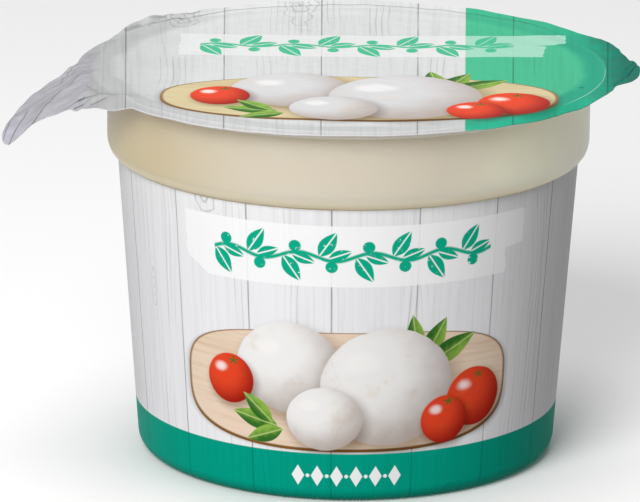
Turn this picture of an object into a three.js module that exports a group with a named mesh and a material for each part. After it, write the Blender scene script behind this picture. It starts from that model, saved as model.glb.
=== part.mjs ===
import * as THREE from 'three';

// A shut dairy tub: a moulded cup with a plain shoulder band, a printed label round its
// lower wall, and a printed film lid sealed on its flange, with a pull tab and a small ear.
// Millimetres. The cup's axis is Z, it stands on Z = 0 and its printed front faces -Y.

// Cup
const FLANGE_RADIUS = 47.5;
const FLANGE_TOP_Z = 71.6;
const FLANGE_THICKNESS = 0.75;
const FLANGE_EDGE_ROUNDING = 0.2;
const BAND_RADIUS = 44.8;
const BAND_BOTTOM_RADIUS = 42.9;
const BAND_BOTTOM_Z = 56.8;
const BAND_ROUNDING_HEIGHT = 3;
const BAND_TOP_FILLET = 0.5;
const FOOT_GROOVE_INNER_RADIUS = 29;
const FOOT_GROOVE_OUTER_RADIUS = 33.6;
const FOOT_GROOVE_DEPTH = 0.8;
const FOOT_GROOVE_SLOPE = 0.6;

// Label: its outer face is a cone that turns in under the cup at the bottom corner
const LABEL_TOP_RADIUS = 42.86;
const LABEL_FOOT_RADIUS = 38.86;
const LABEL_TOP_Z = 56.5;
const LABEL_THICKNESS = 0.4;
const LABEL_GAP = 0.3;
const CORNER_RADIUS = 3;
const LABEL_END_ANGLE = -58;
const FOOT_END_ANGLE = -80;

// Film lid: off centre to the back, pressed down over the rim at the front, with a pull tab
// on the left that droops and an ear on the right. Angles go round from +X in degrees.
const FILM_TOP_Z = 72.3;
const FILM_THICKNESS = 0.4;
const FILM_RADIUS = 49.8;
const FILM_OFFSET = 1.5;
const FILM_OFFSET_ANGLE = 75;
const FILM_BACK_LIFT = 0.08;
const FILM_FRONT_DROOP = 0.95;
const FOLD_RADIUS = 47.3;
const FOLD_SOFTNESS = 0.6;
const TAB_DROOP = 0.53;
const TAB_DROOP_START_RADIUS = 49.5;
const TAB_DROOP_SOFTNESS = 1.5;
const EAR_DROOP = 0.06;
const TAB = {
  start: 158,
  end: 216,
  blend: 14,
  outline: [
    [-49.7, 11.5], [-51.8, 4.2], [-55.2, -0.4], [-59.6, -5.6], [-62.2, -12.2],
    [-63.4, -19.3], [-62.4, -22.0], [-60.6, -21.6], [-56.2, -19.4], [-52.2, -19.9], [-46.6, -24.0],
  ],
};
const EAR = {
  start: -38,
  end: 32,
  blend: 16,
  outline: [
    [43.9, -24.4], [46.5, -20.4], [47.7, -17.2], [49.3, -13.2], [51.4, -11.2], [53.0, -8.4],
    [53.8, -3.6], [53.6, 0.8], [52.4, 5.2], [51.4, 9.4], [50.4, 14.0], [48.3, 19.6],
  ],
};

// Fineness
const CUP_SEGMENTS = 72;
const FILM_SEGMENTS = 120;
const ARC_STEPS = 5;
const FILM_FLAT_RADII = [22, 40, 46.6];
const OVERHANG_STEPS = [0.25, 0.5, 0.75, 1];

const radians = THREE.MathUtils.degToRad;

// Points of an elliptic arc in the half plane of a turned profile, angles in degrees
function arc(centreR, centreZ, radiusR, radiusZ, fromAngle, toAngle, steps) {
  return Array.from({ length: steps + 1 }, (_, i) => {
    const angle = radians(fromAngle + ((toAngle - fromAngle) * i) / steps);
    return new THREE.Vector2(centreR + radiusR * Math.cos(angle), centreZ + radiusZ * Math.sin(angle));
  });
}

// A body turned about Z from its profile of (radius, height) points
function turned(profile, segments) {
  return new THREE.LatheGeometry(profile, segments).rotateX(Math.PI / 2);
}

// Label wall: the cone, and the corner arc that meets it and the table
const wallSlope = (LABEL_TOP_RADIUS - LABEL_FOOT_RADIUS) / LABEL_TOP_Z;
const wallTilt = Math.atan(wallSlope);
const cornerR = LABEL_FOOT_RADIUS + wallSlope * CORNER_RADIUS - CORNER_RADIUS / Math.cos(wallTilt);

// The label wall's line, set in by a distance, from the corner's end angle up to a height
function wallLine(inset, endAngle, topZ) {
  const tangentAngle = -THREE.MathUtils.radToDeg(wallTilt);
  const radius = CORNER_RADIUS - inset;
  const topR = LABEL_FOOT_RADIUS + wallSlope * topZ - inset / Math.cos(wallTilt);
  return [
    ...arc(cornerR, CORNER_RADIUS, radius, radius, endAngle, tangentAngle, ARC_STEPS),
    new THREE.Vector2(topR, topZ),
  ];
}

function cupGeometry() {
  const bandTopZ = FLANGE_TOP_Z - FLANGE_THICKNESS;
  const bandCurveZ = BAND_BOTTOM_Z + BAND_ROUNDING_HEIGHT;
  const rounding = FLANGE_EDGE_ROUNDING;
  return turned([
    new THREE.Vector2(0, 0),
    new THREE.Vector2(FOOT_GROOVE_INNER_RADIUS, 0),
    new THREE.Vector2(FOOT_GROOVE_INNER_RADIUS + FOOT_GROOVE_SLOPE, FOOT_GROOVE_DEPTH),
    new THREE.Vector2(FOOT_GROOVE_OUTER_RADIUS - FOOT_GROOVE_SLOPE, FOOT_GROOVE_DEPTH),
    new THREE.Vector2(FOOT_GROOVE_OUTER_RADIUS, 0),
    new THREE.Vector2(cornerR, 0),
    ...wallLine(LABEL_THICKNESS + LABEL_GAP, FOOT_END_ANGLE, BAND_BOTTOM_Z),
    ...arc(
      BAND_BOTTOM_RADIUS, bandCurveZ,
      BAND_RADIUS - BAND_BOTTOM_RADIUS, BAND_ROUNDING_HEIGHT, -90, 0, ARC_STEPS,
    ),
    new THREE.Vector2(BAND_RADIUS, bandTopZ - BAND_TOP_FILLET),
    new THREE.Vector2(BAND_RADIUS + BAND_TOP_FILLET, bandTopZ),
    new THREE.Vector2(FLANGE_RADIUS - rounding, bandTopZ),
    new THREE.Vector2(FLANGE_RADIUS, bandTopZ + rounding),
    new THREE.Vector2(FLANGE_RADIUS, FLANGE_TOP_Z - rounding),
    new THREE.Vector2(FLANGE_RADIUS - rounding, FLANGE_TOP_Z),
    new THREE.Vector2(0, FLANGE_TOP_Z),
  ], CUP_SEGMENTS);
}

function labelGeometry() {
  const outer = wallLine(0, LABEL_END_ANGLE, LABEL_TOP_Z);
  const inner = wallLine(LABEL_THICKNESS, LABEL_END_ANGLE, LABEL_TOP_Z).reverse();
  return turned([...outer, ...inner, outer[0].clone()], CUP_SEGMENTS);
}

// A point in plan at an angle from +X and a distance from the axis
function polar(angle, radius) {
  return new THREE.Vector3(radius * Math.cos(radians(angle)), radius * Math.sin(radians(angle)), 0);
}

// The film's round outline, a circle off the cup's axis
function roundOutline(angle) {
  return polar(angle, FILM_RADIUS + FILM_OFFSET * Math.cos(radians(angle - FILM_OFFSET_ANGLE)));
}

// How far an angle lies past a flap's start, in degrees below 360
function anglePast(flap, angle) {
  return THREE.MathUtils.euclideanModulo(angle - flap.start, 360);
}

// How much an angle belongs to a flap: 0 outside it, rising to 1 inside its blends
function flapShare(flap, angle) {
  const past = anglePast(flap, angle);
  return THREE.MathUtils.smoothstep(Math.min(past, flap.end - flap.start - past), 0, flap.blend);
}

for (const flap of [TAB, EAR]) {
  const points = flap.outline.map(([x, y]) => new THREE.Vector3(x, y, 0));
  flap.curve = new THREE.CatmullRomCurve3(
    [roundOutline(flap.start), ...points, roundOutline(flap.end)], false, 'centripetal',
  );
}

// The film's outline in plan, for the spoke that crosses the rim at this angle
function outlinePoint(angle) {
  for (const flap of [TAB, EAR]) {
    const share = anglePast(flap, angle) / (flap.end - flap.start);
    if (share < 1) return flap.curve.getPointAt(share);
  }
  return roundOutline(angle);
}

// The film's rise past the rim, below zero where it falls
function filmRise(point, angle) {
  const { lerp } = THREE.MathUtils;
  const past = Math.max(0, point.length() - FOLD_RADIUS);
  const ramp = past ** 2 / (past + FOLD_SOFTNESS);
  const frontness = Math.sqrt(Math.max(0, -Math.sin(radians(angle))));
  const round = lerp(FILM_BACK_LIFT, -FILM_FRONT_DROOP, frontness) * ramp;
  const ear = -EAR_DROOP * ramp;
  const reach = (point.length() - TAB_DROOP_START_RADIUS) / TAB_DROOP_SOFTNESS;
  const tab = -TAB_DROOP * TAB_DROOP_SOFTNESS * Math.log1p(Math.exp(reach));
  return lerp(lerp(round, ear, flapShare(EAR, angle)), tab, flapShare(TAB, angle));
}

// A flat disc of rings is turned first. Its rings past the fold, numbered on from its radius,
// are then spread between the fold and the outline, and the overhang is bent.
function filmGeometry() {
  const innerR = FILM_FLAT_RADII.at(-1);
  const radii = [...FILM_FLAT_RADII, ...OVERHANG_STEPS.map((step) => innerR + step)];
  const bottom = radii.map((r) => new THREE.Vector2(r, -FILM_THICKNESS));
  const top = radii.map((r) => new THREE.Vector2(r, 0)).reverse();
  const disc = turned(
    [new THREE.Vector2(0, -FILM_THICKNESS), ...bottom, ...top, new THREE.Vector2(0, 0)],
    FILM_SEGMENTS,
  );
  const position = disc.getAttribute('position');
  const vertex = new THREE.Vector3();
  for (let i = 0; i < position.count; i += 1) {
    vertex.fromBufferAttribute(position, i);
    const share = Math.hypot(vertex.x, vertex.y) - innerR;
    if (share > 1e-3) {
      const angle = THREE.MathUtils.radToDeg(Math.atan2(vertex.y, vertex.x));
      const spread = polar(angle, innerR).lerp(outlinePoint(angle), share);
      vertex.set(spread.x, spread.y, vertex.z + filmRise(spread, angle));
    }
    position.setXYZ(i, vertex.x, vertex.y, vertex.z + FILM_TOP_Z);
  }
  disc.computeVertexNormals();
  return disc;
}

// A finish from its colour and roughness
function finish(color, roughness) {
  return new THREE.MeshStandardMaterial({ color, roughness, metalness: 0 });
}

// A named sub-part
function subPart(name, geometry, material) {
  const mesh = new THREE.Mesh(geometry, material);
  mesh.name = name;
  return mesh;
}

const pack = new THREE.Group();
pack.add(
  subPart('cup', cupGeometry(), finish(0xddd3bd, 0.45)),
  subPart('label', labelGeometry(), finish(0xe6e6ea, 0.4)),
  subPart('film_lid', filmGeometry(), finish(0xdfe2e0, 0.35)),
);

export default pack;
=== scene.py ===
import math
from bisect import bisect_left

import bmesh
import bpy
from mathutils import Color, Matrix, Vector, noise
from mathutils.geometry import interpolate_bezier


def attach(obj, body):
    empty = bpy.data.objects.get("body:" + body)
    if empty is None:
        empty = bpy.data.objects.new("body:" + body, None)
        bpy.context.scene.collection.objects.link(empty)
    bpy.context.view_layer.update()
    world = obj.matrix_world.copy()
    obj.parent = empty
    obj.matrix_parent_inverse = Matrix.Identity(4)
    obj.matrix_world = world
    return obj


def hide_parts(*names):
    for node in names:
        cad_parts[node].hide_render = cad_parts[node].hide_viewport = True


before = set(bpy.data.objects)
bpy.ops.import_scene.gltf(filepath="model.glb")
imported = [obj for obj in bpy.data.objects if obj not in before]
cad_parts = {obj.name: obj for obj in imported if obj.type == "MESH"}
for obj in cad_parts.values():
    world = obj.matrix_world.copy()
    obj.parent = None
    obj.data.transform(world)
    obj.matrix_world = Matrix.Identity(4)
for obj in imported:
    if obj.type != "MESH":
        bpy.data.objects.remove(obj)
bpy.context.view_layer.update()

# A shut dairy tub: a moulded cup, a printed label round its wall, and a printed film lid with
# a drooping pull tab. Shapes and prints are in millimetres until a piece is finished. The
# cup's axis is Z, it stands on Z = 0, and the front of its print faces -Y.
MM = 0.001
SHARP_ANGLE = 38

# Cup
CUP_STEPS = 240
FLANGE_RADIUS = 47.5
FLANGE_BOTTOM_Z = 70.85
FLANGE_TOP_Z = 72.0
FLANGE_ROUNDING = 0.25
BAND_RADIUS = 44.8
BAND_BOTTOM_RADIUS = 42.9
BAND_BOTTOM_Z = 56.8
BAND_ROUNDING_HEIGHT = 3
BAND_TOP_FILLET = 0.5
FOOT_GROOVE_RADII = (29, 33.6)
FOOT_GROOVE_DEPTH = 0.8
FOOT_GROOVE_SLOPE = 0.6
TOP_DIP_SLOPE = 1
TOP_DIP_EDGE_DEPTH = 0.6
TOP_DIP_DEPTH = 0.8
BAND_STEPS = 14
FILLET_STEPS = 5
FLANGE_STEPS = 4

# Label: a cone that turns in under the cup, its ends lapped at the back
LABEL_TOP_RADIUS = 42.86
LABEL_FOOT_RADIUS = 38.86
LABEL_TOP_Z = 56.5
LABEL_THICKNESS = 0.15
LABEL_END_ANGLE = -80
FOOT_END_ANGLE = -84
CORNER_RADIUS = 3
LAP_ANGLE = 5
LAP_RISE = 0.12
LABEL_GAP = 0.02
CORNER_STEPS = 12

# Film lid: its round outline lies off the cup's axis. Angles go round from +X in degrees.
FILM_TOP_Z = 72.3
FILM_THICKNESS = 0.12
FILM_STEPS = 480
FILM_INNER_STEPS = 26
FILM_INNER_SPACING = 0.7
OVERHANG_STEPS = 20
FILM_RADIUS = 49.8
FILM_OFFSET = 1.5
FILM_OFFSET_ANGLE = 75
FLAT_RADIUS = 46.6
SEAL_INNER_RADIUS = 43.7
SEAL_DIP = 0.16
FILM_SAG = 0.35
FOLD_RADIUS = 47.3
FOLD_SOFTNESS = 0.6
IMPRINT_RADIUS = 47.45
IMPRINT_WIDTH = 0.3
IMPRINT_RISE = 0.08
RIPPLE_RISE = 0.12
RUFFLE_RISE = 0.25
WRINKLE_RISE = 0.34
BACK_LIFT = 0.13
FRONT_DROOP = 1.25
RIGHT_DROOP = 0.62
FRONT_REACH = 2.5
DROOP_CHANGE_X = (-20, 5)
EAR_LIFT = 0.11
TAB_DROOP = 0.53
TAB_DROOP_START = 49.5
TAB_DROOP_SOFTNESS = 1.5
CURVE_STEPS = 24


def polar(angle, radius):
    """A point in plan at an angle in degrees and a distance from the axis."""
    return Vector((radius * math.cos(math.radians(angle)), radius * math.sin(math.radians(angle))))


def lerp(start, end, share):
    """The value that lies a share of the way from start to end."""
    return start + (end - start) * share


def smooth(value, start, end):
    """Rises from 0 at start to 1 at end, with soft ends."""
    share = min(1, max(0, (value - start) / (end - start)))
    return share * share * (3 - 2 * share)


def arc(centre, radii, from_angle, to_angle, steps):
    """Points of an elliptic arc in a profile of radius and height."""
    angles = [math.radians(lerp(from_angle, to_angle, i / steps)) for i in range(steps + 1)]
    return [
        (centre[0] + radii[0] * math.cos(angle), centre[1] + radii[1] * math.sin(angle))
        for angle in angles
    ]


def spun(profile, steps):
    """A bmesh of a profile of radius and height, spun once round Z."""
    bm = bmesh.new()
    line = [bm.verts.new((radius, 0, height)) for radius, height in profile]
    edges = [bm.edges.new(pair) for pair in zip(line, line[1:])]
    bmesh.ops.spin(
        bm, geom=line + edges, cent=(0, 0, 0), axis=(0, 0, 1), angle=math.tau, steps=steps,
        use_merge=True,
    )
    bmesh.ops.remove_doubles(bm, verts=bm.verts, dist=1e-4)
    bmesh.ops.recalc_face_normals(bm, faces=bm.faces)
    return bm


def finish_piece(bm, name, node, material):
    """Makes a bmesh in millimetres the piece that stands for a node."""
    bmesh.ops.scale(bm, vec=(MM, MM, MM), verts=bm.verts)
    mesh = bpy.data.meshes.new(name)
    bm.to_mesh(mesh)
    bm.free()
    mesh.shade_smooth()
    mesh.set_sharp_from_angle(angle=math.radians(SHARP_ANGLE))
    mesh.materials.append(material)
    piece = bpy.data.objects.new(name, mesh)
    bpy.context.collection.objects.link(piece)
    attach(piece, "root")
    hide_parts(node)


# Shader values and paints


def screen_colour(red, green, blue):
    """A colour from its values of 0 to 255 on a screen."""
    linear = Color((red / 255, green / 255, blue / 255)).from_srgb_to_scene_linear()
    return (*linear, 1)


class Number:
    """A number that changes over a surface, held as a socket. Sums on it add Math nodes."""

    def __init__(self, paint, socket):
        self.paint = paint
        self.socket = socket

    def math(self, operation, *values):
        settings = {"operation": operation}
        return self.paint.add("ShaderNodeMath", settings, dict(enumerate(values)))

    def __add__(self, other):
        return self.math("ADD", self, other)

    def __sub__(self, other):
        return self.math("SUBTRACT", self, other)

    def __rsub__(self, other):
        return self.math("SUBTRACT", other, self)

    def __mul__(self, other):
        return self.math("MULTIPLY", self, other)

    def __truediv__(self, other):
        return self.math("DIVIDE", self, other)

    def __mod__(self, other):
        return self.math("FLOORED_MODULO", self, other)

    def __pow__(self, other):
        return self.math("POWER", self, other)

    def __abs__(self):
        return self.math("ABSOLUTE", self)

    def __floor__(self):
        return self.math("FLOOR", self)

    __radd__ = __add__


def least(a, b):
    """The smaller of two numbers over a surface."""
    return a.math("MINIMUM", a, b)


def most(a, b):
    """The larger of two numbers over a surface."""
    return a.math("MAXIMUM", a, b)


def distance(a, b):
    """Length of the vector with these two parts."""
    return (a * a + b * b) ** 0.5


class Paint:
    """A material with one Principled shader, and the nodes that paint it."""

    def __init__(self, name, constants):
        self.material = bpy.data.materials.new(name)
        self.material.use_nodes = True
        self.tree = self.material.node_tree
        self.shader = self.tree.nodes["Principled BSDF"]
        for socket, value in constants.items():
            self.shader.inputs[socket].default_value = value

    def add(self, kind, settings=None, inputs=None, output=0):
        """Adds a node: its settings first, then its sockets' values or links."""
        node = self.tree.nodes.new(kind)
        for name, value in (settings or {}).items():
            setattr(node, name, value)
        for key, value in (inputs or {}).items():
            self.feed(node.inputs[key], value)
        return Number(self, node.outputs[output])

    def feed(self, socket, value):
        if isinstance(value, Number):
            self.tree.links.new(value.socket, socket)
        else:
            socket.default_value = value

    def set(self, socket, value):
        """Feeds one of the shader's own sockets."""
        self.feed(self.shader.inputs[socket], value)

    def place(self):
        """The three object coordinates in millimetres."""
        coordinates = self.add("ShaderNodeTexCoord", output="Object")
        parts = self.add("ShaderNodeSeparateXYZ", inputs={0: coordinates}).socket.node.outputs
        return [Number(self, part) / MM for part in parts]

    def vector(self, x, y, z=0.0):
        return self.add("ShaderNodeCombineXYZ", inputs={0: x, 1: y, 2: z})

    def rise(self, value, start, end, low=0.0, high=1.0):
        """Goes softly from low at start to high at end."""
        return self.add(
            "ShaderNodeMapRange",
            {"interpolation_type": "SMOOTHSTEP"},
            {0: value, 1: start, 2: end, 3: low, 4: high},
        )

    def mix(self, colour, other, share, blend="MIX"):
        return self.add(
            "ShaderNodeMix",
            {"data_type": "RGBA", "blend_type": blend},
            {0: share, 6: colour, 7: other},
            output=2,
        )

    def grey(self, brightness):
        """A colour with one brightness for its red, green and blue."""
        return self.add("ShaderNodeCombineColor", None, dict.fromkeys(range(3), brightness))

    def noise(self, x, y, z=0.0, detail=2.0, roughness=0.5):
        """Soft noise between 0 and 1, one lump to a unit of its coordinates."""
        inputs = {"Vector": self.vector(x, y, z), "Scale": 1.0, "Detail": detail}
        return self.add("ShaderNodeTexNoise", None, {**inputs, "Roughness": roughness})

    def bump(self, height, depth, strength):
        inputs = {"Height": height, "Distance": depth, "Strength": strength}
        return self.add("ShaderNodeBump", None, inputs)


# Prints: pale planks, a field of green, a banner with a sprig, and a board with food


LABEL_WHITE = screen_colour(242, 242, 244)
FILM_WHITE = screen_colour(218, 220, 219)
BANNER_WHITE = screen_colour(254, 254, 254)
SEAM_GREY = 0.42
PLANK_STREAK = 0.1
PLANK_DIFFERENCE = 0.035
PLANK_SHIFT = 3.7
SEAM_HALF_WIDTH = 0.2
GRAIN_LINE = 0.28
GRAIN_PITCH = 1.15
GRAIN_STRENGTH = 0.7
KNOT_WOBBLE = 0.9


def thin_line(paint, value, half_width):
    """1 where a value is zero, gone at the line's half width."""
    return paint.rise(abs(value), half_width, half_width * 0.25)


def between(paint, value, low, high, soft=0.12):
    """1 between two values, with soft ends."""
    return paint.rise(value, low - soft, low + soft) * paint.rise(value, high + soft, high - soft)


def knot(paint, across, along, centre, size):
    """Rings of drawn grain round a knot, as a darkness."""
    x = (across - centre[0]) / size[0]
    y = (along - centre[1]) / size[1]
    wobble = paint.noise(across * 0.25, along * 0.25, centre[0], detail=2.0)
    rings = distance(x, y) + wobble * KNOT_WOBBLE
    drawn = thin_line(paint, (rings * 3) % 1 - 0.5, 0.17)
    return drawn * paint.rise(rings, 1.7, 1.0)


def planks(paint, across, along, seam, width, grain_places, wander=5, drawn=1.0):
    """Painted planks as shades of grey, one seam at a given place and the rest a width apart.

    Grain is drawn at knots, given by centre and size, and in streaks, given by two corners.
    """
    knots, streaky = grain_places
    place = (across - seam) / width
    index = math.floor(place)
    inside = place - index
    own = paint.add("ShaderNodeTexWhiteNoise", {"noise_dimensions": "1D"}, {"W": index})
    shift = index * PLANK_SHIFT
    fade = paint.noise(along * 0.07, shift, detail=1.0)
    from_seam = least(inside, 1 - inside) * width
    seams = paint.rise(from_seam, SEAM_HALF_WIDTH, SEAM_HALF_WIDTH / 4)
    seams = seams * paint.rise(fade, 0.25, 0.6, 0.45, 1.0)
    streaks = paint.noise(across * 1.1, along * 0.025, shift, detail=3.0, roughness=0.65)
    bend = paint.noise(across * 0.08, along * 0.03, shift, detail=1.0)
    grain = (across + bend * wander) / GRAIN_PITCH
    where = paint.noise(across * 0.17, along * 0.02, shift + 4.0, detail=1.0)
    lined = paint.rise(where, 0.54, 0.64) * GRAIN_STRENGTH
    for low, high in streaky:
        patch = between(paint, across, low[0], high[0], 0.5)
        lined = most(lined, patch * between(paint, along, low[1], high[1], 3))
    lines = thin_line(paint, grain % 1 - 0.5, 0.12) * lined
    lines = lines * paint.rise(streaks, 0.35, 0.6, 0.4, 1.0)
    for centre, size in knots:
        lines = most(lines, knot(paint, across, along, centre, size))
    shade = 1 - paint.rise(streaks, 0.42, 0.74) * PLANK_STREAK - own * PLANK_DIFFERENCE
    left_light = (1 - lines * drawn * GRAIN_LINE) * (1 - seams * drawn * (1 - SEAM_GREY))
    return paint.grey(shade * left_light)


def leaf(paint, x, y, base, angle, length, width):
    """Mask of a pointed leaf that grows from its base, and the distance from its rib."""
    cos, sin = math.cos(math.radians(angle)), math.sin(math.radians(angle))
    along = ((x - base[0]) * cos + (y - base[1]) * sin) / length
    across = (y - base[1]) * cos - (x - base[0]) * sin
    half = (along * (1 - along) * 4) * most(1.35 - along * 0.6, 0) * (width / 2)
    return paint.rise(half - abs(across), 0, 0.18), across


def sine(turn):
    return turn.math("SINE", turn)


# A sprig's leaves: a base, as a share of its pitch and a height, an angle, and a length and a
# width as shares of its height
SPRIG_LEAVES = (((-0.45, 0.0), 56, 0.62, 0.3), ((-0.2, -0.4), 20, 0.5, 0.22))
SPRIG_WAVE = 0.8
STEM_HALF_WIDTH = 0.6
BERRY_RADIUS = 1.2


def sprig(paint, x, y, half_length, height, pitch):
    """A row of leaves and berries on a wavy stem, its ink a little worn."""
    drawn = thin_line(paint, y - sine(x * (math.pi / pitch)) * SPRIG_WAVE, STEM_HALF_WIDTH)
    index = math.floor(x / pitch)
    side = (index % 2) * 2 - 1
    local = x - (index + 0.5) * pitch
    for base, angle, length, width in SPRIG_LEAVES:
        place = (pitch * base[0], base[1])
        leaves, across = leaf(
            paint, local, y * side, place, angle, height * length, height * width
        )
        drawn = most(drawn, leaves * (1 - thin_line(paint, across, 0.2)))
    from_berry = distance(local + pitch * 0.1, y * side + height * 0.2)
    berry = paint.rise(from_berry, BERRY_RADIUS, BERRY_RADIUS - 0.2)
    worn = paint.noise(x * 1.1, y * 1.1, 5.0, detail=3.0, roughness=0.7)
    drawn = most(drawn, berry) * paint.rise(worn, 0.7, 0.62)
    return drawn * paint.rise(abs(x), half_length, half_length - 0.2)


# The board, its grain and the cheese, a little darker on the film
LABEL_FOOD = (
    screen_colour(238, 215, 192), screen_colour(216, 184, 152), screen_colour(244, 242, 240),
)
FILM_FOOD = (
    screen_colour(217, 201, 160), screen_colour(199, 176, 128), screen_colour(216, 216, 217),
)
BOARD_EDGE = screen_colour(128, 88, 40)
CHEESE_SHADE = screen_colour(180, 166, 158)
CHEESE_WARM = screen_colour(226, 206, 182)
TOMATO = screen_colour(232, 72, 40)
TOMATO_SHADE = screen_colour(150, 24, 16)
TOMATO_WARM = screen_colour(240, 120, 60)
LEAF_LIGHT = screen_colour(142, 182, 76)
LEAF_DARK = screen_colour(50, 108, 38)
LEAF_RIB = screen_colour(192, 214, 134)
SHADOW = (0.18, 0.12, 0.07, 1)
HIGHLIGHT = screen_colour(255, 253, 250)


def ball(paint, colour, x, y, lumps, centre, size, skins, gloss):
    """Paints a round of cheese or a tomato, lit from its upper left, over a colour."""
    body, shade, warm = skins
    u = (x - centre[0]) / size[0]
    v = (y - centre[1]) / size[1]
    cast = paint.rise(distance(u - 0.1, v + 0.16), 1.28, 0.8)
    colour = paint.mix(colour, SHADOW, cast * 0.55, "MULTIPLY")
    reach = distance(u, v) + lumps * 0.06
    turned = distance(u + 0.3, v - 0.35) + lumps * 0.35
    skin = paint.mix(body, warm, paint.rise(lumps, 0.02, 0.25) * 0.45)
    skin = paint.mix(skin, shade, paint.rise(turned, 0.4, 1.55))
    shine = paint.rise(distance(u + 0.38, (v - 0.42) * 1.4) + lumps * 0.3, 0.36, 0.1)
    skin = paint.mix(skin, HIGHLIGHT, shine * gloss)
    return paint.mix(colour, skin, paint.rise(reach, 1.0, 1.0 - 0.25 / size[0]))


def painted_leaf(paint, colour, x, y, veins, base, angle, length, width):
    """Paints a leaf with a pale rib and side veins, light on one side, over a colour."""
    mask, across = leaf(paint, x, y, base, angle, length, width)
    turn = across + veins * width * 0.5
    skin = paint.mix(LEAF_LIGHT, LEAF_DARK, paint.rise(turn, -width * 0.4, width * 0.35))
    skin = paint.mix(skin, LEAF_RIB, thin_line(paint, across, 0.22) * 0.7)
    return paint.mix(colour, skin, mask)


def calyx(paint, colour, x, y, centre, size):
    """Paints the small green star where a tomato's stalk was."""
    u = x - centre[0]
    v = (y - centre[1]) * 1.5
    star = distance(u, v) + abs(sine(u.math("ARCTAN2", u, v) * 2.5)) * (size * 0.8)
    return paint.mix(colour, LEAF_DARK, paint.rise(star, size * 1.05, size * 0.8))


BOARD_CENTRE = (0, 21.8)
BOARD_HALF_SIZE = (32.5, 11.4)
CHEESE_GLOSS = 0.5
TOMATO_GLOSS = 0.75
CALYX_SIZE = 1.5

# Rounds on the board, the back ones first: a centre, a half size, and if it is a tomato
ROUNDS = (
    ((-11, 26), (10, 8.8), False),
    ((-22.6, 22.5), (5.0, 4.9), True),
    ((7.5, 22.5), (12.6, 11.4), False),
    ((25, 19), (6.0, 5.8), True),
    ((-4.2, 16.4), (7.2, 6.2), False),
    ((18.8, 15.4), (4.9, 4.7), True),
)

# Leaves on the board: a base, an angle, a length and a width
BACK_LEAVES = (
    ((14, 27), 62, 9.5, 3.8), ((15, 26.5), 28, 11, 4.0), ((13, 28), 98, 8.5, 3.4),
)
FRONT_LEAVES = (
    ((-13, 14.5), 168, 9.5, 3.6), ((-12, 14), 200, 8, 3.2), ((-14, 15), 138, 8, 3.2),
)


def food(paint, colour, x, y, squareness, thickness, colours):
    """Paints an oblong board with cheese rounds, cherry tomatoes and leaves over a colour."""
    plain_wood, wood_grain, cheese_white = colours
    u = (abs(x - BOARD_CENTRE[0]) / BOARD_HALF_SIZE[0]) ** squareness
    v = (y - BOARD_CENTRE[1]) / BOARD_HALF_SIZE[1]
    under = v + thickness / BOARD_HALF_SIZE[1]
    outline = (u + abs(v) ** squareness) ** (1 / squareness)
    lower = (u + abs(under) ** squareness) ** (1 / squareness)
    colour = paint.mix(colour, SHADOW, paint.rise(lower, 1.04, 0.99) * 0.3, "MULTIPLY")
    colour = paint.mix(colour, BOARD_EDGE, paint.rise(lower, 1.0, 0.988))
    grain = paint.noise(x * 0.06, y * 1.1 + x * 0.05, 3.0, detail=3.0, roughness=0.6)
    wood = paint.mix(plain_wood, wood_grain, paint.rise(grain, 0.42, 0.75) * 0.6)
    wood = paint.mix(wood, BOARD_EDGE, paint.rise(outline, 0.972, 0.988) * 0.85)
    colour = paint.mix(colour, wood, paint.rise(outline, 1.0, 0.988))
    lumps = paint.noise(x * 0.2, y * 0.2, 6.0, detail=3.0, roughness=0.55) - 0.5
    veins = paint.noise(x * 0.9, y * 0.9, 2.0, detail=1.0) - 0.5
    for shape in BACK_LEAVES:
        colour = painted_leaf(paint, colour, x, y, veins, *shape)
    cheese = ((cheese_white, CHEESE_SHADE, CHEESE_WARM), CHEESE_GLOSS)
    tomato = ((TOMATO, TOMATO_SHADE, TOMATO_WARM), TOMATO_GLOSS)
    for centre, size, is_tomato in ROUNDS:
        skins, gloss = tomato if is_tomato else cheese
        colour = ball(paint, colour, x, y, lumps, centre, size, skins, gloss)
        if is_tomato:
            stalk = (centre[0] + 0.8, centre[1] + size[1] * 0.72)
            colour = calyx(paint, colour, x, y, stalk, CALYX_SIZE)
    for shape in FRONT_LEAVES:
        colour = painted_leaf(paint, colour, x, y, veins, *shape)
    return colour


# Label print, laid out by its way round from the front and its height
LABEL_PRINT_RADIUS = 40.9
LABEL_GREEN = screen_colour(0, 158, 134)
LABEL_GREEN_TOP_Z = 9.65
LABEL_SEAM = -2.9
LABEL_PLANK_WIDTH = 15.4
LABEL_GRAIN = (
    [((-26.5, 58), (3.6, 6.5)), ((21, -4), (4.0, 9)), ((-42, 36), (1.4, 6))],
    [((-38, 30), (-35, 57)), ((10, 22), (14.5, 42)), ((38, 12), (42, 56))],
)
LABEL_BANNER_Z = (41.9, 53.5)
LABEL_BANNER_ENDS = (-32.2, 35.6)
LABEL_BANNER_SLANT_Z = (45.5, 41.5)
LABEL_BANNER_SLANT = 4.6
LABEL_BANNER_STEP_Z = (46.95, 46.55)
LABEL_BANNER_STEP = 4.2
BANNER_RAGGEDNESS = 1.6
LABEL_SPRIG_CENTRE = (1, 47.6)
LABEL_SPRIG_SIZE = (26, 9.5, 6.5)
LABEL_BOARD_SQUARENESS = 3.2
LABEL_BOARD_THICKNESS = 0.45
SPRIG_GREEN = screen_colour(10, 174, 138)
DIAMOND_PITCH = 3.7
DIAMOND_Z = 5.3
DIAMOND_ROW_HALF_LENGTH = 10.7


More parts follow.
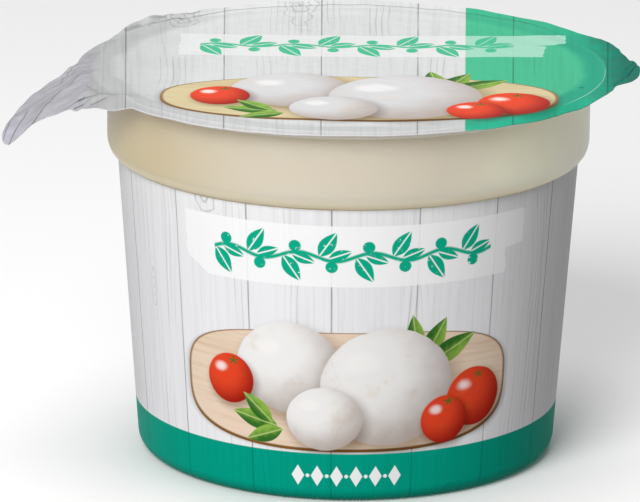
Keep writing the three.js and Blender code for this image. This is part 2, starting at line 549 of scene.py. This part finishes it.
def diamonds(paint, across, z):
    """A row of diamonds with small dots between them, as a mask."""
    from_diamond = abs(across % DIAMOND_PITCH - DIAMOND_PITCH / 2)
    from_row = abs(z - DIAMOND_Z)
    diamond = paint.rise(from_diamond + from_row * 0.62, 1.3, 1.15)
    from_dot = distance(DIAMOND_PITCH / 2 - from_diamond, from_row)
    drawn = most(diamond, paint.rise(from_dot, 0.42, 0.3))
    return drawn * paint.rise(abs(across), DIAMOND_ROW_HALF_LENGTH, DIAMOND_ROW_HALF_LENGTH - 0.1)


def label_paint():
    paint = Paint("printed_label", {"Roughness": 0.5, "Specular IOR Level": 0.03})
    x, y, z = paint.place()
    across = x.math("ARCTAN2", x, 0 - y) * LABEL_PRINT_RADIUS
    shade = planks(paint, across, z, LABEL_SEAM, LABEL_PLANK_WIDTH, LABEL_GRAIN)
    colour = paint.mix(LABEL_WHITE, shade, 1.0, "MULTIPLY")
    ragged = paint.noise(z * 0.5, across * 0.02, detail=2.0) * BANNER_RAGGEDNESS
    slant = paint.rise(z, *LABEL_BANNER_SLANT_Z) * LABEL_BANNER_SLANT
    left = LABEL_BANNER_ENDS[0] + ragged + slant
    step = paint.rise(z, *LABEL_BANNER_STEP_Z) * LABEL_BANNER_STEP
    right = LABEL_BANNER_ENDS[1] - ragged - step
    banner = between(paint, z, *LABEL_BANNER_Z) * paint.rise(across - left, -0.1, 0.1)
    banner = banner * paint.rise(right - across, -0.1, 0.1)
    colour = paint.mix(colour, BANNER_WHITE, banner * 0.85)
    middle_x, middle_z = LABEL_SPRIG_CENTRE
    vine = sprig(paint, across - middle_x, z - middle_z, *LABEL_SPRIG_SIZE)
    colour = paint.mix(colour, SPRIG_GREEN, vine)
    colour = food(
        paint, colour, across, z, LABEL_BOARD_SQUARENESS, LABEL_BOARD_THICKNESS, LABEL_FOOD
    )
    band = paint.mix(LABEL_GREEN, shade, 0.7, "MULTIPLY")
    green = paint.rise(z, LABEL_GREEN_TOP_Z + 0.1, LABEL_GREEN_TOP_Z - 0.1)
    colour = paint.mix(colour, band, green)
    colour = paint.mix(colour, BANNER_WHITE, diamonds(paint, across, z) * 0.92)
    paint.set("Base Color", colour)
    ripple = paint.noise(across * 0.1, z * 0.1, detail=2.0)
    paint.set("Normal", paint.bump(ripple, 0.0004, 0.25))
    return paint.material


# Film print, laid out in plan. It runs out a little wider towards the back. Nothing pale backs
# the film on the rim, the tab and the ear, and it is painted darker there and on the left:
# painted shade on the left, on the rim at the front and left, past the rim at the front, on the
# green rim and the ear, and in its creases, with a few painted highlights.
FILM_SPREAD = 0.00087
FILM_SPREAD_CENTRE = -5.1
FILM_STRETCH = 0.00028
FILM_GREEN = screen_colour(72, 189, 145)
# Painted shade on the green: darker on the rim, and darker still on the ear past it
FILM_GREEN_RIM_SHADE = screen_colour(40, 167, 134)
FILM_GREEN_EAR_SHADE = screen_colour(24, 114, 97)
FILM_GREEN_X = 21.7
FILM_SEAM = -5.1
FILM_PLANK_WIDTH = 17.9
FILM_GRAIN = (
    [((-31, 36), (4.2, 7)), ((-9, 50), (4.0, 20)), ((-27, -52), (4.5, 12))],
    [((-35, -42), (-29.5, 8)), ((-15, 27), (-7, 48)), ((3, 27), (8, 48)), ((15, -4), (18, 9))],
)
FILM_BANNER_Y = (9.8, 26)
FILM_BANNER_ENDS = (-32.4, 41.2)
FILM_BANNER = screen_colour(232, 233, 232)
FILM_SPRIG_CENTRE = (1.5, 17.8)
FILM_SPRIG_SQUASH = 0.72
FILM_SPRIG_HEIGHT = 11.5
FILM_SPRIG_PITCH = 7.4
FILM_BOARD_CENTRE = (1.8, -21.6)
FILM_BOARD_STRETCH = (1.12, 1.42)
FILM_BOARD_SQUARENESS = 2.4
FILM_BOARD_THICKNESS = 0.85
MINT = screen_colour(186, 228, 210)
# The tab's greys are darker than the film's white, partly because nothing pale backs the tab and
# partly as painted shade carrying on the darkening to the left; the outer grey past the fold is
# painted shade
TAB_GREY = screen_colour(162, 162, 167)
TAB_OUTER_SHADE = screen_colour(162, 161, 166)
TAB_TIP = screen_colour(170, 168, 177)
TAB_FOLD_X = -44.18
# Painted shade for the creases, on the white and on the green
LEFT_CREASE_SHADE = screen_colour(84, 84, 88)
RIGHT_CREASE_SHADE = screen_colour(10, 62, 56)
UNPRINTED = screen_colour(232, 232, 236)
# Painted highlights: along the film's front-left edge, and along the imprint of the rim's edge
FILM_EDGE_HIGHLIGHT = screen_colour(232, 226, 230)
IMPRINT_HIGHLIGHT = screen_colour(188, 224, 208)
BACK_FOLD_RADIUS = 48.7

# Where the film's painted shade and the tab's grey start, and where they are full
TAB_X = (-45.8, -49.0)
FRONT_Y = (30, -12)
LEFT_X = (-24, -44)
LEFT_RIM_X = (-20, -36)
RIM_RADII = (42.4, 44.8)
LOOSE_RADII = (47.0, 48.2)

# Painted shade that darkens the film: on the left, on the rim, past the rim and along the back fold
LEFT_SHADE = (0.82, 0.82, 0.825, 1)
RIM_SHADE = (0.82, 0.82, 0.82, 1)
LOOSE_SHADE = (0.8, 0.79, 0.79, 1)
BACK_FOLD_SHADE = (0.6, 0.61, 0.61, 1)

# Painted shade in the film's creases, drawn as dark lines: two ends in plan, a half width and a
# darkness
LEFT_LINES = [
    ((-58.0, -20.8), (-56.0, -16.0), 0.2, 0.8),
    ((-56.0, -16.0), (-53.8, -12.0), 0.2, 0.8),
    ((-53.8, -12.0), (-51.1, -8.0), 0.2, 0.75),
    ((-51.1, -8.0), (-48.6, -4.8), 0.2, 0.7),
    ((-48.6, -4.8), (-46.5, -2.5), 0.25, 0.35),
    ((-53.4, -4.7), (-51.5, 3.6), 0.2, 0.45),
    ((-51.5, 3.6), (-50.3, 11.5), 0.2, 0.35),
    ((-46.0, 15.1), (-45.0, -17.6), 0.15, 0.16),
    ((-62.2, -22.9), (-58.9, -12.0), 0.2, 0.7),
    ((-63.2, -21.4), (-61.8, -12.5), 0.2, 0.6),
    ((-50.2, -19.1), (-49.1, -18.2), 0.35, 0.45),
    ((-49.5, -18.4), (-48.2, -18.2), 0.35, 0.95),
    ((-50.1, -20.9), (-45.9, -18.9), 0.3, 0.7),
    ((-52.0, -19.8), (-46.2, -17.9), 0.28, 0.5),
    ((-47.1, -21.8), (-44.2, -21.6), 0.5, 0.45),
    ((-48.4, -11.8), (-45.4, -18.3), 0.3, 0.25),
    ((-45.4, -18.3), (-42.6, -22.0), 0.35, 0.25),
    ((-43.7, 25.2), (-42.6, 27.0), 0.6, 0.3),
    ((-42.3, 25.9), (-39.4, 29.4), 0.9, 0.38),
    ((-38.0, 32.4), (-34.6, 36.6), 0.45, 0.22),
    ((-31.9, 39.8), (-28.4, 41.4), 0.7, 0.38),
]
RIGHT_LINES = [
    ((53.3, 1.1), (50.0, -9.1), 0.2, 0.9),
    ((50.0, -9.1), (48.2, -12.9), 0.2, 0.7),
    ((53.1, 3.0), (50.3, -4.0), 0.25, 0.35),
    ((42.1, -14.3), (42.8, -13.7), 0.55, 0.6),
]


def strokes(paint, x, y, lines):
    """Thin straight lines between points in plan, as one darkness: painted shade in creases."""
    drawn = 0.0
    for start, end, half_width, darkness in lines:
        way = Vector(end) - Vector(start)
        length = way.length
        way.normalize()
        along = (x - start[0]) * way.x + (y - start[1]) * way.y
        across = (x - start[0]) * way.y - (y - start[1]) * way.x
        line = thin_line(paint, across, half_width) * between(paint, along, 0, length, 0.35)
        drawn = most(line * darkness, drawn)
    return drawn


def film_paint():
    paint = Paint("printed_film", {"Roughness": 0.4, "Specular IOR Level": 0.12})
    x, y, _ = paint.place()
    radius = distance(x, y)
    uneven = paint.noise(x * 0.12, y * 0.12, 4.0, detail=3.0) - 0.5
    across = (x - FILM_SPREAD_CENTRE) / (1 + y * FILM_SPREAD) + FILM_SPREAD_CENTRE
    across = across + x * x * FILM_STRETCH
    on_tab = paint.rise(x, *TAB_X)
    shade = planks(
        paint, across, y, FILM_SEAM, FILM_PLANK_WIDTH, FILM_GRAIN, wander=2.5, drawn=1 - on_tab
    )
    green = paint.rise(across, FILM_GREEN_X - 0.1, FILM_GREEN_X + 0.1)
    to_front = paint.rise(y, *FRONT_Y)
    to_left = paint.rise(x + uneven * 8, *LEFT_X)
    ring = paint.rise(radius + uneven * 4, *RIM_RADII)
    loose = paint.rise(radius, *LOOSE_RADII)
    white = paint.mix(FILM_WHITE, shade, 1.0, "MULTIPLY")
    # Painted shade: the white is darker towards the left
    white = paint.mix(white, LEFT_SHADE, to_left, "MULTIPLY")
    # Painted shade on the rim, at the front and on the left
    rim = most(to_front, paint.rise(x, *LEFT_RIM_X))
    white = paint.mix(white, RIM_SHADE, ring * rim, "MULTIPLY")
    # Painted shade past the rim at the front, where the loose film bends down
    white = paint.mix(white, LOOSE_SHADE, loose * to_front, "MULTIPLY")
    # Painted shade on the green: darker on the rim, most towards the right, and darker still on the
    # ear
    field = paint.mix(FILM_GREEN, FILM_GREEN_RIM_SHADE, ring * paint.rise(x - y * 0.45, 18, 36, 0.4))
    field = paint.mix(field, FILM_GREEN_EAR_SHADE, loose * paint.rise(x + uneven * 4, 43, 52))
    field = paint.mix(field, shade, 0.9, "MULTIPLY")
    colour = paint.mix(white, field, green)
    ragged = paint.noise(y * 0.5, x * 0.02, 7.0, detail=2.0) * 1.2
    left = FILM_BANNER_ENDS[0] + ragged
    notch = paint.rise(abs(y - 18.6), 0.9, 0.3)
    step = paint.rise(y, 18.8, 18.3)
    right = FILM_BANNER_ENDS[1] - ragged - step * 3.6 - notch * 1.5 + (y - 18) * 0.08
    banner = between(paint, y, *FILM_BANNER_Y) * paint.rise(x - left, -0.1, 0.1)
    banner = banner * paint.rise(right - x, -0.1, 0.1)
    colour = paint.mix(colour, paint.mix(FILM_BANNER, MINT, green), banner * 0.7)
    vine_x = x - FILM_SPRIG_CENTRE[0]
    vine_y = (y - FILM_SPRIG_CENTRE[1]) * FILM_SPRIG_SQUASH
    vine_half_length = 4 * FILM_SPRIG_PITCH
    vine = sprig(paint, vine_x, vine_y, vine_half_length, FILM_SPRIG_HEIGHT, FILM_SPRIG_PITCH)
    colour = paint.mix(colour, FILM_GREEN, vine)
    board_x = (x - FILM_BOARD_CENTRE[0]) / FILM_BOARD_STRETCH[0]
    board_y = (y - FILM_BOARD_CENTRE[1]) / FILM_BOARD_STRETCH[1] + BOARD_CENTRE[1]
    colour = food(
        paint, colour, board_x, board_y, FILM_BOARD_SQUARENESS, FILM_BOARD_THICKNESS, FILM_FOOD
    )
    # Painted shade: a dark line along the film's fold at the back
    fold = thin_line(paint, radius - BACK_FOLD_RADIUS - uneven * 2, 0.3) * paint.rise(y, 26, 36)
    colour = paint.mix(colour, BACK_FOLD_SHADE, fold, "MULTIPLY")
    # Painted highlight: a thin light line along the imprint of the rim's edge, on the right
    on_right = paint.rise(x, 38, 42) * paint.rise(y, 18, 12)
    imprint = thin_line(paint, radius - IMPRINT_RADIUS, IMPRINT_WIDTH / 2) * on_right
    imprint = imprint * paint.rise(uneven - y * 0.015, -0.15, 0.4, 0.1, 0.6)
    colour = paint.mix(colour, IMPRINT_HIGHLIGHT, imprint)
    # Painted shade in the creases of the ear
    colour = paint.mix(colour, RIGHT_CREASE_SHADE, strokes(paint, x, y, RIGHT_LINES))
    # The tab: greys that are partly painted shade, a touch darker past the fold, and a lilac tip
    outer = paint.rise(x - y * (0.993 + y * 0.0158), TAB_FOLD_X + 0.15, TAB_FOLD_X - 0.15)
    tab = paint.mix(TAB_GREY, TAB_OUTER_SHADE, outer)
    tab = paint.mix(tab, TAB_TIP, outer * paint.rise(y, -9, -19) * paint.rise(x, -56, -61))
    # Blotches on the tab, partly random tone and partly painted shade for its small wrinkles
    mottle_and_shade = paint.noise(x * 0.4, y * 0.4, 2.0, detail=4.0, roughness=0.6)
    tab = paint.mix(tab, paint.grey(mottle_and_shade * 0.6 + 0.7), 1.0, "MULTIPLY")
    colour = paint.mix(colour, tab, on_tab)
    # Painted shade in the creases of the tab and the back-left edge
    colour = paint.mix(colour, LEFT_CREASE_SHADE, strokes(paint, x, y, LEFT_LINES))
    # Painted highlight along the film's edge at the front left
    margin = paint.add("ShaderNodeAttribute", {"attribute_name": "margin"}, output="Fac")
    edge = paint.rise(margin, 0.2, 0.08) * paint.rise(y, 10, -10) * paint.rise(x, 30, 10)
    colour = paint.mix(colour, FILM_EDGE_HIGHLIGHT, edge * 0.35)
    printed = paint.add("ShaderNodeAttribute", {"attribute_name": "printed"}, output="Fac")
    colour = paint.mix(UNPRINTED, colour, paint.rise(printed, 0.05, 0.2))
    paint.set("Base Color", colour)
    crinkle = paint.noise(x * 0.35, y * 0.35, detail=3.0)
    paint.set("Normal", paint.bump(crinkle, 0.0005, 0.25))
    return paint.material


# Cup plastic: natural plastic that takes on the cream and the light of what is round it. Painted
# light makes it lighter and greener towards +X, where light comes through the green film, and
# lighter at the band's lower edge, where light comes through the plastic. A faint glow stands for
# the light that comes through it.
CUP_TAN = screen_colour(192, 174, 132)
CUP_CREAM = screen_colour(208, 198, 180)
CUP_GREENISH_LIGHT = screen_colour(252, 252, 220)
CUP_LOWER_GLOW = screen_colour(246, 230, 190)
CUP_CREAM_SIDE = (-1.0, -0.25)
CUP_GREENISH_LIGHT_SIDE = (0.3, 1.0)
CUP_EDGE_TOP = 2.4
CUP_EDGE_FULL = 0.8


def cup_paint():
    paint = Paint("cup_plastic", {
        "Roughness": 0.42, "Specular IOR Level": 0.3, "Subsurface Weight": 1.0,
        "Subsurface Radius": (1.0, 0.9, 0.75), "Subsurface Scale": 0.012,
        "Emission Color": (1.0, 0.94, 0.78, 1), "Emission Strength": 0.11,
    })
    x, y, z = paint.place()
    side = x / (distance(x, y) + 0.01)
    cloud = paint.noise(x * 0.05, y * 0.05, z * 0.08, detail=2.0) * 0.3 - 0.15
    colour = paint.mix(CUP_TAN, CUP_CREAM, paint.rise(side + cloud, *CUP_CREAM_SIDE))
    # Painted light: lighter and greener towards +X
    colour = paint.mix(colour, CUP_GREENISH_LIGHT, paint.rise(side + cloud, *CUP_GREENISH_LIGHT_SIDE))
    # Painted light: lighter and yellower at the band's lower edge
    edge = paint.rise(z, BAND_BOTTOM_Z + CUP_EDGE_TOP, BAND_BOTTOM_Z + CUP_EDGE_FULL)
    colour = paint.mix(colour, CUP_LOWER_GLOW, edge * 0.6)
    paint.set("Base Color", colour)
    grain = paint.noise(x * 0.8, y * 0.8, z * 0.8, detail=2.0)
    paint.set("Normal", paint.bump(grain, 0.0002, 0.15))
    return paint.material


# Cup and label meshes


WALL_SLOPE = (LABEL_TOP_RADIUS - LABEL_FOOT_RADIUS) / LABEL_TOP_Z
WALL_TILT = math.atan(WALL_SLOPE)
WALL_STEPS = 8
CORNER_CENTRE = LABEL_FOOT_RADIUS + WALL_SLOPE * CORNER_RADIUS - CORNER_RADIUS / math.cos(WALL_TILT)


def wall_line(inset, end_angle, top_z):
    """The label's outer line, set in by a distance, from under the corner up to a height."""
    radius = CORNER_RADIUS - inset
    top_radius = LABEL_FOOT_RADIUS + WALL_SLOPE * top_z - inset / math.cos(WALL_TILT)
    tangent_angle = -math.degrees(WALL_TILT)
    centre = (CORNER_CENTRE, CORNER_RADIUS)
    corner = arc(centre, (radius, radius), end_angle, tangent_angle, CORNER_STEPS)
    foot = Vector(corner[-1])
    top = Vector((top_radius, top_z))
    return corner + [tuple(foot.lerp(top, i / WALL_STEPS)) for i in range(1, WALL_STEPS + 1)]


def make_cup():
    groove_in, groove_out = FOOT_GROOVE_RADII
    slope = FOOT_GROOVE_SLOPE
    rounding = (FLANGE_ROUNDING, FLANGE_ROUNDING)
    flange_edge = FLANGE_RADIUS - FLANGE_ROUNDING
    profile = [
        (0, 0), (groove_in, 0), (groove_in + slope, FOOT_GROOVE_DEPTH),
        (groove_out - slope, FOOT_GROOVE_DEPTH), (groove_out, 0), (CORNER_CENTRE, 0),
        *wall_line(LABEL_THICKNESS, FOOT_END_ANGLE, BAND_BOTTOM_Z),
        *arc(
            (BAND_BOTTOM_RADIUS, BAND_BOTTOM_Z + BAND_ROUNDING_HEIGHT),
            (BAND_RADIUS - BAND_BOTTOM_RADIUS, BAND_ROUNDING_HEIGHT), -90, 0, BAND_STEPS,
        ),
        *arc(
            (BAND_RADIUS + BAND_TOP_FILLET, FLANGE_BOTTOM_Z - BAND_TOP_FILLET),
            (BAND_TOP_FILLET, BAND_TOP_FILLET), 180, 90, FILLET_STEPS,
        ),
        *arc((flange_edge, FLANGE_BOTTOM_Z + FLANGE_ROUNDING), rounding, -90, 0, FLANGE_STEPS),
        *arc((flange_edge, FLANGE_TOP_Z - FLANGE_ROUNDING), rounding, 0, 90, FLANGE_STEPS),
        (SEAL_INNER_RADIUS, FLANGE_TOP_Z),
        (SEAL_INNER_RADIUS - TOP_DIP_SLOPE, FLANGE_TOP_Z - TOP_DIP_EDGE_DEPTH),
        (0, FLANGE_TOP_Z - TOP_DIP_DEPTH),
    ]
    finish_piece(spun(profile, CUP_STEPS), "cup_body", "cup", cup_paint())


def make_label():
    outer = wall_line(0, LABEL_END_ANGLE, LABEL_TOP_Z)
    inner = wall_line(LABEL_THICKNESS - LABEL_GAP, LABEL_END_ANGLE, LABEL_TOP_Z)[::-1]
    bm = spun([*outer, *inner, outer[0]], CUP_STEPS)
    for vertex in bm.verts:
        from_back = math.degrees(math.atan2(vertex.co.x, vertex.co.y))
        if 0 <= from_back < LAP_ANGLE:
            vertex.co.xy *= 1 + LAP_RISE / vertex.co.xy.length
    finish_piece(bm, "label_sleeve", "label", label_paint())


# Film lid mesh


def round_outline(angle):
    turn = math.radians(angle - FILM_OFFSET_ANGLE)
    return polar(angle, FILM_RADIUS + FILM_OFFSET * math.cos(turn))


def smooth_curve(points):
    """Points close together along the smooth curve through given points."""
    ends = [points[0] * 2 - points[1], *points, points[-1] * 2 - points[-2]]
    line = []
    for before, a, b, after in zip(ends, ends[1:], ends[2:], ends[3:]):
        d0, d1, d2 = (math.sqrt((q - p).length) for p, q in ((before, a), (a, b), (b, after)))
        out_of_a = d1 * ((a - before) / d0 - (b - before) / (d0 + d1) + (b - a) / d1)
        into_b = d1 * ((b - a) / d1 - (after - a) / (d1 + d2) + (after - b) / d2)
        line += interpolate_bezier(a, a + out_of_a / 3, b - into_b / 3, b, CURVE_STEPS)[:-1]
    return line + [points[-1]]


class Flap:
    """A stretch of the film's edge, between two angles, that leaves its round outline."""

    def __init__(self, start, end, blend, outline):
        self.start = start
        self.span = end - start
        self.blend = blend
        points = [round_outline(start), *map(Vector, outline), round_outline(end)]
        self.line = smooth_curve(points)
        self.lengths = [0.0]
        for p, q in zip(self.line, self.line[1:]):
            self.lengths.append(self.lengths[-1] + (q - p).length)

    def past(self, angle):
        return (angle - self.start) % 360

    def share(self, angle):
        """How much an angle belongs to the flap, from 0 outside it to 1 inside its blends."""
        past = self.past(angle)
        return smooth(min(past, self.span - past), 0, self.blend)

    def edge(self, angle):
        """The outline's point for an angle, even steps of angle being even along the curve."""
        target = self.past(angle) / self.span * self.lengths[-1]
        i = min(len(self.line) - 1, max(1, bisect_left(self.lengths, target)))
        step = self.lengths[i] - self.lengths[i - 1]
        return self.line[i - 1].lerp(self.line[i], (target - self.lengths[i - 1]) / step)


TAB = Flap(158, 216, 14, [
    (-49.7, 11.5), (-51.8, 4.2), (-55.2, -0.4), (-59.6, -5.6), (-62.2, -12.2), (-63.4, -19.3),
    (-62.4, -22.0), (-60.6, -21.6), (-56.2, -19.4), (-52.2, -19.9), (-46.6, -24.0),
])
EAR = Flap(-38, 32, 16, [
    (43.9, -24.4), (46.5, -20.4), (47.7, -17.2), (49.3, -13.2), (51.4, -11.2), (53.0, -8.4),
    (53.8, -3.6), (53.6, 0.8), (52.4, 5.2), (51.4, 9.4), (50.4, 14.0), (48.3, 19.6),
])


def film_edge(angle):
    """The film's outline in plan at an angle."""
    for flap in (TAB, EAR):
        if flap.past(angle) < flap.span:
            return flap.edge(angle)
    return round_outline(angle)


def overhang_rise(point, angle):
    """The film's rise past the rim, below zero where it falls."""
    past = max(0, point.length - FOLD_RADIUS)
    ramp = past**2 / (past + FOLD_SOFTNESS)
    droop = lerp(FRONT_DROOP, RIGHT_DROOP, smooth(point.x, *DROOP_CHANGE_X))
    pressed = min(ramp, FRONT_REACH) * droop
    frontness = math.sqrt(max(0, -math.sin(math.radians(angle))))
    edge = lerp(BACK_LIFT * ramp, -pressed, frontness)
    reach = (point.length - TAB_DROOP_START) / TAB_DROOP_SOFTNESS
    tab = -TAB_DROOP * TAB_DROOP_SOFTNESS * math.log1p(math.exp(reach))
    return lerp(lerp(edge, EAR_LIFT * ramp, EAR.share(angle)), tab, TAB.share(angle))


# Creases pressed into the film: two ends in plan, a depth, below zero for a ridge, and a width
CREASES_START = 42
CREASES = [
    ((-42.5, 29.5), (-38.5, 34), -0.9, 2.6),
    ((-34.5, 38.5), (-30.5, 41.5), -0.35, 2.6),
    ((-50.5, 8), (-46.5, 22), 0.75, 2.6),
    ((-61.5, -22.5), (-48.5, -21.5), 0.75, 2.6),
    ((-43.5, 24.5), (-38.5, 31.5), 0.3, 0.9),
    ((-38.5, 31.5), (-34.5, 37.5), -0.3, 0.8),
    ((-37.5, 30.5), (-35.0, 36.0), 0.3, 0.6),
    ((-31.5, 36.5), (-29.5, 42.0), 0.35, 0.8),
    ((-28, 38.5), (-20, 43.3), 0.15, 0.6),
    ((-48.9, -5.1), (-55.8, -15.1), -0.35, 1.3),
    ((-55.8, -15.1), (-57.9, -20.7), -0.35, 1.3),
    ((-59, -12.4), (-62.1, -22.7), 0.25, 0.7),
    ((-61.7, -12.7), (-63.1, -21.1), -0.2, 0.6),
    ((-46.2, -17.2), (-50.2, -22.0), 0.4, 0.6),
    ((-45.6, -18.6), (-48.6, -22.2), -0.3, 0.6),
    ((-44.1, -21.4), (-46.4, -22.4), 0.2, 0.5),
    ((-47, -2.5), (-49.5, -4.5), 0.2, 0.5),
    ((-47.9, -11.7), (-45.4, -18.5), 0.3, 0.9),
    ((-43, -23.2), (-40.2, -24.8), -0.5, 1.8),
    ((-49.3, -18.6), (-47.7, -16.9), 0.3, 0.4),
    ((-52, -1.2), (-49.3, 7.5), 0.4, 0.8),
    ((-50.4, -0.5), (-48.4, 8.5), -0.3, 0.7),
    ((-48.6, -2.5), (-46.2, 3.5), 0.25, 0.6),
    ((-48.4, -4.0), (-45.4, -14.8), 0.3, 0.8),
    ((42.3, -14.1), (42.9, -13.8), 0.35, 0.35),
    ((47.6, -9), (53.2, -2.6), 0.3, 0.9),
    ((49, -1), (53.4, 2.6), -0.25, 1.2),
    ((53.3, 1.1), (50, -9.1), 0.3, 0.6),
    ((50, -9.1), (48.2, -12.9), 0.3, 0.6),
    ((48.4, 8.5), (50.8, 11.5), 0.25, 0.6),
]


def crease_fall(point):
    """How far the creases press the film down at a point in plan."""
    if point.length < CREASES_START:
        return 0
    fall = 0
    for a, b, depth, width in CREASES:
        a, b = Vector(a), Vector(b)
        share = (point - a).dot(b - a) / (b - a).length_squared
        off = (point - a.lerp(b, min(1, max(0, share)))).length / width
        fall += depth * math.exp(-off * off)
    return fall


FACET_SIZE = 4.5
FACET_RELIEF = 0.5
FACET_MIDDLE = 0.35


def facets(point):
    """Small flat facets where the film has been pulled and bent."""
    near, _ = noise.voronoi(Vector((point.x / FACET_SIZE, point.y / FACET_SIZE, 0)))
    return (near[0] - FACET_MIDDLE) * FACET_RELIEF


def soft_noise(x, y, seed):
    """Soft noise between about -1 and 1, one lump to a unit of its coordinates."""
    return noise.noise(Vector((x, y, seed)))


# Where the film lies on the cup's rim, and how low its top can be there
RIM_MIDDLE = (SEAL_INNER_RADIUS + FLANGE_RADIUS) / 2
RIM_HALF_WIDTH = (FLANGE_RADIUS - SEAL_INNER_RADIUS) / 2 + 0.15
ON_RIM_Z = FLANGE_TOP_Z + FILM_THICKNESS + 0.02


def film_height(point, angle):
    """Height of the film's top over a point in plan."""
    radius = point.length
    sag = smooth(radius, SEAL_INNER_RADIUS, SEAL_INNER_RADIUS - 1.6) * SEAL_DIP
    sag += FILM_SAG * max(0, 1 - (radius / SEAL_INNER_RADIUS) ** 2)
    loose = smooth(radius, FOLD_RADIUS, FOLD_RADIUS + 2)
    pulled = max(TAB.share(angle), 0.7 * EAR.share(angle))
    ripple = soft_noise(point.x * 0.09, point.y * 0.09, 8.0) * RIPPLE_RISE
    ruffle = soft_noise(point.x * 0.16, point.y * 0.16, 3.0) * RUFFLE_RISE * loose
    wrinkle = soft_noise(angle * 0.5, radius * 0.1, 5.0) * WRINKLE_RISE * loose * pulled
    imprint = IMPRINT_RISE * math.exp(-(((radius - IMPRINT_RADIUS) / IMPRINT_WIDTH) ** 2))
    bent = facets(point) * loose * max(0.25, pulled)
    rise = overhang_rise(point, angle) - sag + ripple + ruffle + wrinkle + imprint - bent
    height = FILM_TOP_Z + rise - crease_fall(point)
    return max(height, ON_RIM_Z) if abs(radius - RIM_MIDDLE) < RIM_HALF_WIDTH else height


def make_film():
    shares = [(i / FILM_INNER_STEPS) ** FILM_INNER_SPACING for i in range(FILM_INNER_STEPS + 1)]
    inner = [FLAT_RADIUS * share for share in shares]
    outer = [FLAT_RADIUS + (i + 1) / OVERHANG_STEPS for i in range(OVERHANG_STEPS)]
    bm = spun([(radius, 0) for radius in inner + outer], FILM_STEPS)
    margin = bm.verts.layers.float.new("margin")
    for vertex in bm.verts:
        point = vertex.co.xy
        angle = math.degrees(math.atan2(point.y, point.x))
        share = point.length - FLAT_RADIUS
        vertex[margin] = FLAT_RADIUS  # far from the film's edge
        if share > 1e-3:
            edge = film_edge(angle)
            point = polar(angle, FLAT_RADIUS).lerp(edge, share)
            vertex[margin] = (edge - point).length
        vertex.co = (*point, film_height(point, angle))
    if bm.faces[0].normal.z < 0:
        bmesh.ops.reverse_faces(bm, faces=bm.faces)
    bmesh.ops.solidify(bm, geom=bm.faces, thickness=FILM_THICKNESS)
    printed = bm.verts.layers.float.new("printed")
    bm.normal_update()
    for vertex in bm.verts:
        vertex[printed] = 1.0 if vertex.normal.z > 0 else 0.0
    finish_piece(bm, "film_lid_sheet", "film_lid", film_paint())


# Studio: a pale floor, soft lights and the camera
CAMERA_ELEVATION = 15.88
CAMERA_DISTANCE = 1106
CAMERA_TARGET = Vector((-5.1, 0, 36.8))
CAMERA_ROLL = 0.46
CAMERA_LENS = 332.775
FLOOR_HALF_SIZE = 5.0
FLOOR_PALE = screen_colour(246, 246, 246)
WORLD_BRIGHTNESS = 0.25

# Lights: a place and a size in metres, and a power in watts
KEY_LIGHT = ((-0.43, -0.97, 0.746), 0.8, 15.6)
TOP_LIGHT = ((0.0, 0.15, 1.2), 0.9, 6.7)


def make_floor():
    bm = bmesh.new()
    bmesh.ops.create_grid(bm, x_segments=1, y_segments=1, size=FLOOR_HALF_SIZE)
    mesh = bpy.data.meshes.new("floor")
    bm.to_mesh(mesh)
    bm.free()
    paint = Paint("pale_floor", {"Roughness": 0.9, "Base Color": FLOOR_PALE})
    mesh.materials.append(paint.material)
    floor = bpy.data.objects.new("floor", mesh)
    bpy.context.collection.objects.link(floor)
    floor.visible_diffuse = False


def make_light(name, place, size, power):
    """A round soft light that faces the middle of the pack."""
    lamp = bpy.data.lights.new(name, "AREA")
    lamp.shape = "DISK"
    lamp.size = size
    lamp.energy = power
    light = bpy.data.objects.new(name, lamp)
    aim = CAMERA_TARGET * MM - Vector(place)
    light.rotation_euler = aim.to_track_quat("-Z", "Y").to_euler()
    light.location = place
    bpy.context.collection.objects.link(light)


def make_camera():
    elevation = math.radians(CAMERA_ELEVATION)
    roll = math.radians(CAMERA_ROLL)
    back = Vector((0, -math.cos(elevation), math.sin(elevation)))
    right = Vector((1, 0, 0))
    up = back.cross(right)
    side = right * math.cos(roll) + up * math.sin(roll)
    top = up * math.cos(roll) - right * math.sin(roll)
    lens = bpy.data.cameras.new("camera")
    lens.lens = CAMERA_LENS
    camera = bpy.data.objects.new("camera", lens)
    turned = Matrix((side, top, back)).transposed().to_4x4()
    spot = (CAMERA_TARGET + back * CAMERA_DISTANCE) * MM
    camera.matrix_world = Matrix.Translation(spot) @ turned
    bpy.context.collection.objects.link(camera)
    bpy.context.scene.camera = camera


def make_world():
    world = bpy.data.worlds.new("studio")
    world.use_nodes = True
    background = world.node_tree.nodes["Background"]
    background.inputs["Color"].default_value = (1, 1, 1, 1)
    background.inputs["Strength"].default_value = WORLD_BRIGHTNESS
    bpy.context.scene.world = world


make_camera()
make_floor()
make_cup()
make_label()
make_film()
make_world()
make_light("key", *KEY_LIGHT)
make_light("top", *TOP_LIGHT)
bpy.context.scene.view_settings.view_transform = "Standard"
